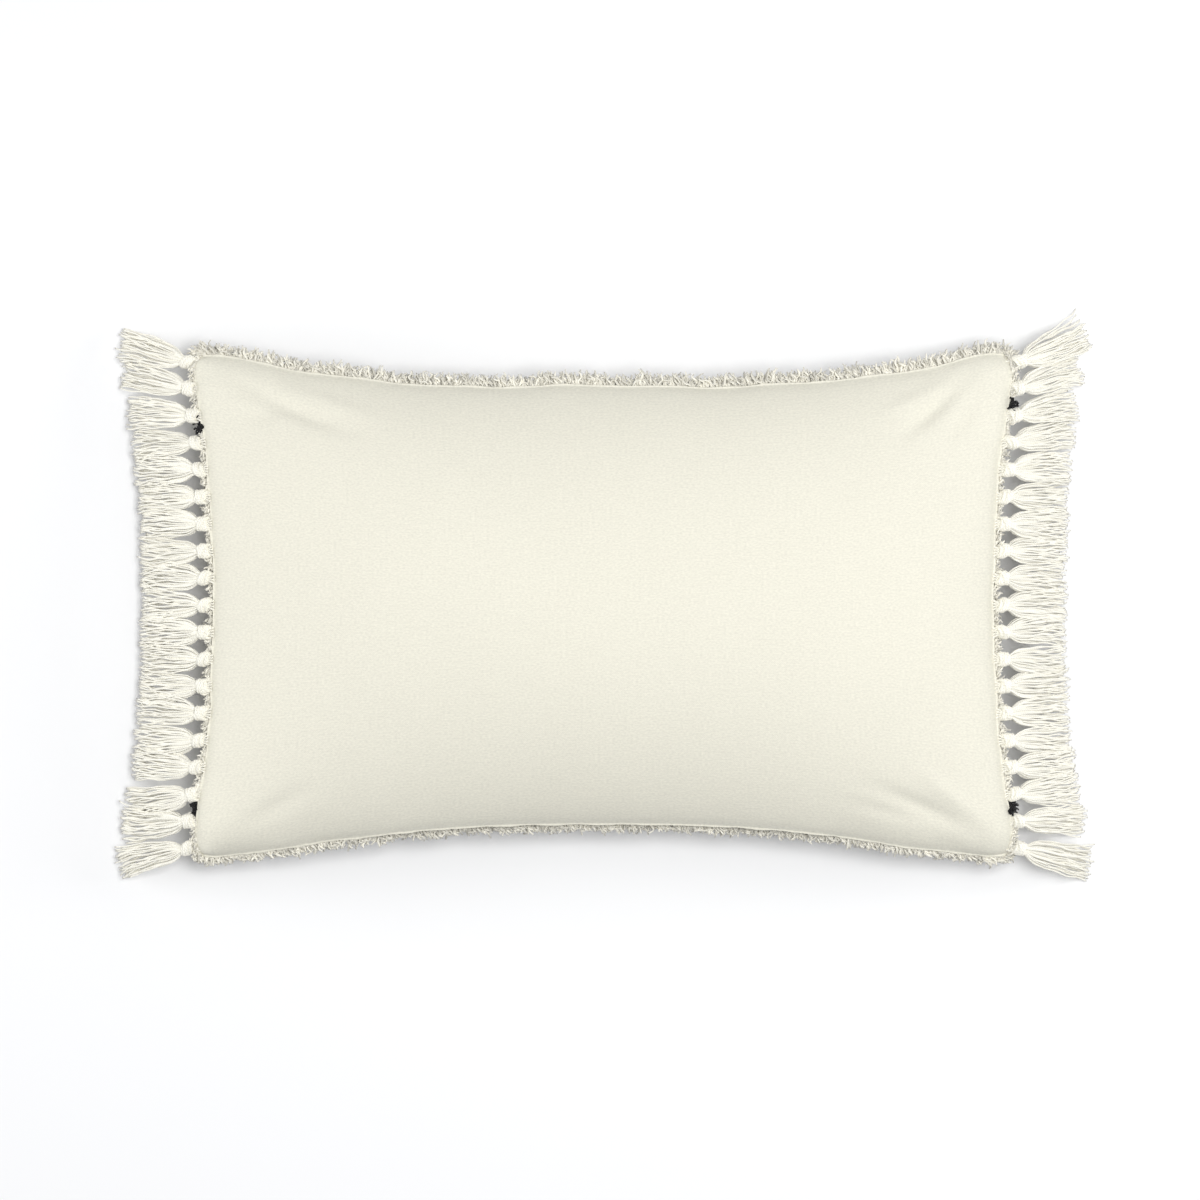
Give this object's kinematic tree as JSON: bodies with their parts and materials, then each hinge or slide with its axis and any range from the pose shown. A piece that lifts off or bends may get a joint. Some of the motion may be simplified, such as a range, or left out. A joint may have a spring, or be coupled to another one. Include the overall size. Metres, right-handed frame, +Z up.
{
  "type": "throw pillow",
  "caption": "Rectangular stuffed lumbar cushion with a plain woven back, a tufted pile front and knotted tassels along both short sides.",
  "frame": {"origin": "on the resting plane, under the middle of the cushion lying on its tufted front", "axes": "+X along the cushion's length, +Y across it away from the zip, +Z up through the plain back"},
  "size_m": [0.5836, 0.328, 0.1192],
  "materials": {
    "back_cloth": "matt fine plain weave",
    "front_cloth": "matt plain weave",
    "pile_ivory": "matt tufted yarn",
    "pile_dark": "matt tufted yarn",
    "tassel_yarn": "matt twisted yarn",
    "thread": "matt spun thread",
    "zip_tape": "matt woven tape",
    "zip_coil": "satin nylon",
    "zip_metal": "satin nickel plate",
    "label": "satin woven tape, blank",
    "insert_casing": "matt non-woven",
    "filling": "loose white fibre"
  },
  "bodies": {
    "cushion": {"back_panel": "back_cloth", "front_panel": "front_cloth", "pile_middle": "pile_ivory", "pile_far_edge": "pile_ivory", "pile_zip_edge": "pile_ivory", "pile_stripes": "pile_dark", "seam_allowance": "back_cloth", "seam_stitching": "thread", "fringe_heading_left": "tassel_yarn", "fringe_heading_right": "tassel_yarn", "zip_tape_upper": "zip_tape", "zip_tape_lower": "zip_tape", "zip_coil_upper": "zip_coil", "zip_coil_lower": "zip_coil", "zip_stops": "zip_metal", "care_label": "label", "insert_casing_upper": "insert_casing", "insert_casing_lower": "insert_casing", "insert_seam": "thread", "insert_filling": "filling"},
    "zip_slider": {"zip_slider": "zip_metal"},
    "zip_pull_tab": {"zip_pull_tab": "zip_metal"},
    "tassel_left_01": {"tassel_left_01": "tassel_yarn"},
    "tassel_left_02": {"tassel_left_02": "tassel_yarn"},
    "tassel_left_03": {"tassel_left_03": "tassel_yarn"},
    "tassel_left_04": {"tassel_left_04": "tassel_yarn"},
    "tassel_left_05": {"tassel_left_05": "tassel_yarn"},
    "tassel_left_06": {"tassel_left_06": "tassel_yarn"},
    "tassel_left_07": {"tassel_left_07": "tassel_yarn"},
    "tassel_left_08": {"tassel_left_08": "tassel_yarn"},
    "tassel_left_09": {"tassel_left_09": "tassel_yarn"},
    "tassel_left_10": {"tassel_left_10": "tassel_yarn"},
    "tassel_left_11": {"tassel_left_11": "tassel_yarn"},
    "tassel_left_12": {"tassel_left_12": "tassel_yarn"},
    "tassel_left_13": {"tassel_left_13": "tassel_yarn"},
    "tassel_left_14": {"tassel_left_14": "tassel_yarn"},
    "tassel_left_15": {"tassel_left_15": "tassel_yarn"},
    "tassel_left_16": {"tassel_left_16": "tassel_yarn"},
    "tassel_left_17": {"tassel_left_17": "tassel_yarn"},
    "tassel_left_18": {"tassel_left_18": "tassel_yarn"},
    "tassel_left_19": {"tassel_left_19": "tassel_yarn"},
    "tassel_right_01": {"tassel_right_01": "tassel_yarn"},
    "tassel_right_02": {"tassel_right_02": "tassel_yarn"},
    "tassel_right_03": {"tassel_right_03": "tassel_yarn"},
    "tassel_right_04": {"tassel_right_04": "tassel_yarn"},
    "tassel_right_05": {"tassel_right_05": "tassel_yarn"},
    "tassel_right_06": {"tassel_right_06": "tassel_yarn"},
    "tassel_right_07": {"tassel_right_07": "tassel_yarn"},
    "tassel_right_08": {"tassel_right_08": "tassel_yarn"},
    "tassel_right_09": {"tassel_right_09": "tassel_yarn"},
    "tassel_right_10": {"tassel_right_10": "tassel_yarn"},
    "tassel_right_11": {"tassel_right_11": "tassel_yarn"},
    "tassel_right_12": {"tassel_right_12": "tassel_yarn"},
    "tassel_right_13": {"tassel_right_13": "tassel_yarn"},
    "tassel_right_14": {"tassel_right_14": "tassel_yarn"},
    "tassel_right_15": {"tassel_right_15": "tassel_yarn"},
    "tassel_right_16": {"tassel_right_16": "tassel_yarn"},
    "tassel_right_17": {"tassel_right_17": "tassel_yarn"},
    "tassel_right_18": {"tassel_right_18": "tassel_yarn"},
    "tassel_right_19": {"tassel_right_19": "tassel_yarn"}
  },
  "joints": [
    {"name": "zip_slide", "type": "slide", "parent": "cushion", "child": "zip_slider", "axis": [1, 0, 0], "range_m": [-0.234, 0]},
    {"name": "pull_tab_turn", "type": "hinge", "parent": "zip_slider", "child": "zip_pull_tab", "pos_m": [0.1165, -0.1317, 0.0517], "axis": [0, 0, 1], "range_deg": [0, 160]},
    {"name": "tassel_left_01_swing", "type": "hinge", "parent": "cushion", "child": "tassel_left_01", "pos_m": [-0.24477, 0.14352, 0.03504], "axis": [0, 1, 0], "range_deg": [0, 90]},
    {"name": "tassel_left_02_swing", "type": "hinge", "parent": "cushion", "child": "tassel_left_02", "pos_m": [-0.24346, 0.12757, 0.04059], "axis": [0, 1, 0], "range_deg": [0, 90]},
    {"name": "tassel_left_03_swing", "type": "hinge", "parent": "cushion", "child": "tassel_left_03", "pos_m": [-0.24114, 0.11163, 0.04357], "axis": [0, 1, 0], "range_deg": [0, 90]},
    {"name": "tassel_left_04_swing", "type": "hinge", "parent": "cushion", "child": "tassel_left_04", "pos_m": [-0.23894, 0.09568, 0.04504], "axis": [0, 1, 0], "range_deg": [0, 90]},
    {"name": "tassel_left_05_swing", "type": "hinge", "parent": "cushion", "child": "tassel_left_05", "pos_m": [-0.2371, 0.07973, 0.04568], "axis": [0, 1, 0], "range_deg": [0, 90]},
    {"name": "tassel_left_06_swing", "type": "hinge", "parent": "cushion", "child": "tassel_left_06", "pos_m": [-0.23567, 0.06379, 0.04592], "axis": [0, 1, 0], "range_deg": [0, 90]},
    {"name": "tassel_left_07_swing", "type": "hinge", "parent": "cushion", "child": "tassel_left_07", "pos_m": [-0.23467, 0.04784, 0.04598], "axis": [0, 1, 0], "range_deg": [0, 90]},
    {"name": "tassel_left_08_swing", "type": "hinge", "parent": "cushion", "child": "tassel_left_08", "pos_m": [-0.23405, 0.03189, 0.046], "axis": [0, 1, 0], "range_deg": [0, 90]},
    {"name": "tassel_left_09_swing", "type": "hinge", "parent": "cushion", "child": "tassel_left_09", "pos_m": [-0.23376, 0.01595, 0.046], "axis": [0, 1, 0], "range_deg": [0, 90]},
    {"name": "tassel_left_10_swing", "type": "hinge", "parent": "cushion", "child": "tassel_left_10", "pos_m": [-0.2337, 0, 0.046], "axis": [0, 1, 0], "range_deg": [0, 90]},
    {"name": "tassel_left_11_swing", "type": "hinge", "parent": "cushion", "child": "tassel_left_11", "pos_m": [-0.23376, -0.01595, 0.046], "axis": [0, 1, 0], "range_deg": [0, 90]},
    {"name": "tassel_left_12_swing", "type": "hinge", "parent": "cushion", "child": "tassel_left_12", "pos_m": [-0.23405, -0.03189, 0.046], "axis": [0, 1, 0], "range_deg": [0, 90]},
    {"name": "tassel_left_13_swing", "type": "hinge", "parent": "cushion", "child": "tassel_left_13", "pos_m": [-0.23467, -0.04784, 0.04598], "axis": [0, 1, 0], "range_deg": [0, 90]},
    {"name": "tassel_left_14_swing", "type": "hinge", "parent": "cushion", "child": "tassel_left_14", "pos_m": [-0.23567, -0.06379, 0.04592], "axis": [0, 1, 0], "range_deg": [0, 90]},
    {"name": "tassel_left_15_swing", "type": "hinge", "parent": "cushion", "child": "tassel_left_15", "pos_m": [-0.2371, -0.07973, 0.04568], "axis": [0, 1, 0], "range_deg": [0, 90]},
    {"name": "tassel_left_16_swing", "type": "hinge", "parent": "cushion", "child": "tassel_left_16", "pos_m": [-0.23894, -0.09568, 0.04504], "axis": [0, 1, 0], "range_deg": [0, 90]},
    {"name": "tassel_left_17_swing", "type": "hinge", "parent": "cushion", "child": "tassel_left_17", "pos_m": [-0.24114, -0.11163, 0.04357], "axis": [0, 1, 0], "range_deg": [0, 90]},
    {"name": "tassel_left_18_swing", "type": "hinge", "parent": "cushion", "child": "tassel_left_18", "pos_m": [-0.24346, -0.12757, 0.04059], "axis": [0, 1, 0], "range_deg": [0, 90]},
    {"name": "tassel_left_19_swing", "type": "hinge", "parent": "cushion", "child": "tassel_left_19", "pos_m": [-0.24477, -0.14352, 0.03504], "axis": [0, 1, 0], "range_deg": [0, 90]},
    {"name": "tassel_right_01_swing", "type": "hinge", "parent": "cushion", "child": "tassel_right_01", "pos_m": [0.24477, 0.14352, 0.03504], "axis": [0, -1, 0], "range_deg": [0, 90]},
    {"name": "tassel_right_02_swing", "type": "hinge", "parent": "cushion", "child": "tassel_right_02", "pos_m": [0.24346, 0.12757, 0.04059], "axis": [0, -1, 0], "range_deg": [0, 90]},
    {"name": "tassel_right_03_swing", "type": "hinge", "parent": "cushion", "child": "tassel_right_03", "pos_m": [0.24114, 0.11163, 0.04357], "axis": [0, -1, 0], "range_deg": [0, 90]},
    {"name": "tassel_right_04_swing", "type": "hinge", "parent": "cushion", "child": "tassel_right_04", "pos_m": [0.23894, 0.09568, 0.04504], "axis": [0, -1, 0], "range_deg": [0, 90]},
    {"name": "tassel_right_05_swing", "type": "hinge", "parent": "cushion", "child": "tassel_right_05", "pos_m": [0.2371, 0.07973, 0.04568], "axis": [0, -1, 0], "range_deg": [0, 90]},
    {"name": "tassel_right_06_swing", "type": "hinge", "parent": "cushion", "child": "tassel_right_06", "pos_m": [0.23567, 0.06379, 0.04592], "axis": [0, -1, 0], "range_deg": [0, 90]},
    {"name": "tassel_right_07_swing", "type": "hinge", "parent": "cushion", "child": "tassel_right_07", "pos_m": [0.23467, 0.04784, 0.04598], "axis": [0, -1, 0], "range_deg": [0, 90]},
    {"name": "tassel_right_08_swing", "type": "hinge", "parent": "cushion", "child": "tassel_right_08", "pos_m": [0.23405, 0.03189, 0.046], "axis": [0, -1, 0], "range_deg": [0, 90]},
    {"name": "tassel_right_09_swing", "type": "hinge", "parent": "cushion", "child": "tassel_right_09", "pos_m": [0.23376, 0.01595, 0.046], "axis": [0, -1, 0], "range_deg": [0, 90]},
    {"name": "tassel_right_10_swing", "type": "hinge", "parent": "cushion", "child": "tassel_right_10", "pos_m": [0.2337, 0, 0.046], "axis": [0, -1, 0], "range_deg": [0, 90]},
    {"name": "tassel_right_11_swing", "type": "hinge", "parent": "cushion", "child": "tassel_right_11", "pos_m": [0.23376, -0.01595, 0.046], "axis": [0, -1, 0], "range_deg": [0, 90]},
    {"name": "tassel_right_12_swing", "type": "hinge", "parent": "cushion", "child": "tassel_right_12", "pos_m": [0.23405, -0.03189, 0.046], "axis": [0, -1, 0], "range_deg": [0, 90]},
    {"name": "tassel_right_13_swing", "type": "hinge", "parent": "cushion", "child": "tassel_right_13", "pos_m": [0.23467, -0.04784, 0.04598], "axis": [0, -1, 0], "range_deg": [0, 90]},
    {"name": "tassel_right_14_swing", "type": "hinge", "parent": "cushion", "child": "tassel_right_14", "pos_m": [0.23567, -0.06379, 0.04592], "axis": [0, -1, 0], "range_deg": [0, 90]},
    {"name": "tassel_right_15_swing", "type": "hinge", "parent": "cushion", "child": "tassel_right_15", "pos_m": [0.2371, -0.07973, 0.04568], "axis": [0, -1, 0], "range_deg": [0, 90]},
    {"name": "tassel_right_16_swing", "type": "hinge", "parent": "cushion", "child": "tassel_right_16", "pos_m": [0.23894, -0.09568, 0.04504], "axis": [0, -1, 0], "range_deg": [0, 90]},
    {"name": "tassel_right_17_swing", "type": "hinge", "parent": "cushion", "child": "tassel_right_17", "pos_m": [0.24114, -0.11163, 0.04357], "axis": [0, -1, 0], "range_deg": [0, 90]},
    {"name": "tassel_right_18_swing", "type": "hinge", "parent": "cushion", "child": "tassel_right_18", "pos_m": [0.24346, -0.12757, 0.04059], "axis": [0, -1, 0], "range_deg": [0, 90]},
    {"name": "tassel_right_19_swing", "type": "hinge", "parent": "cushion", "child": "tassel_right_19", "pos_m": [0.24477, -0.14352, 0.03504], "axis": [0, -1, 0], "range_deg": [0, 90]}
  ]
}
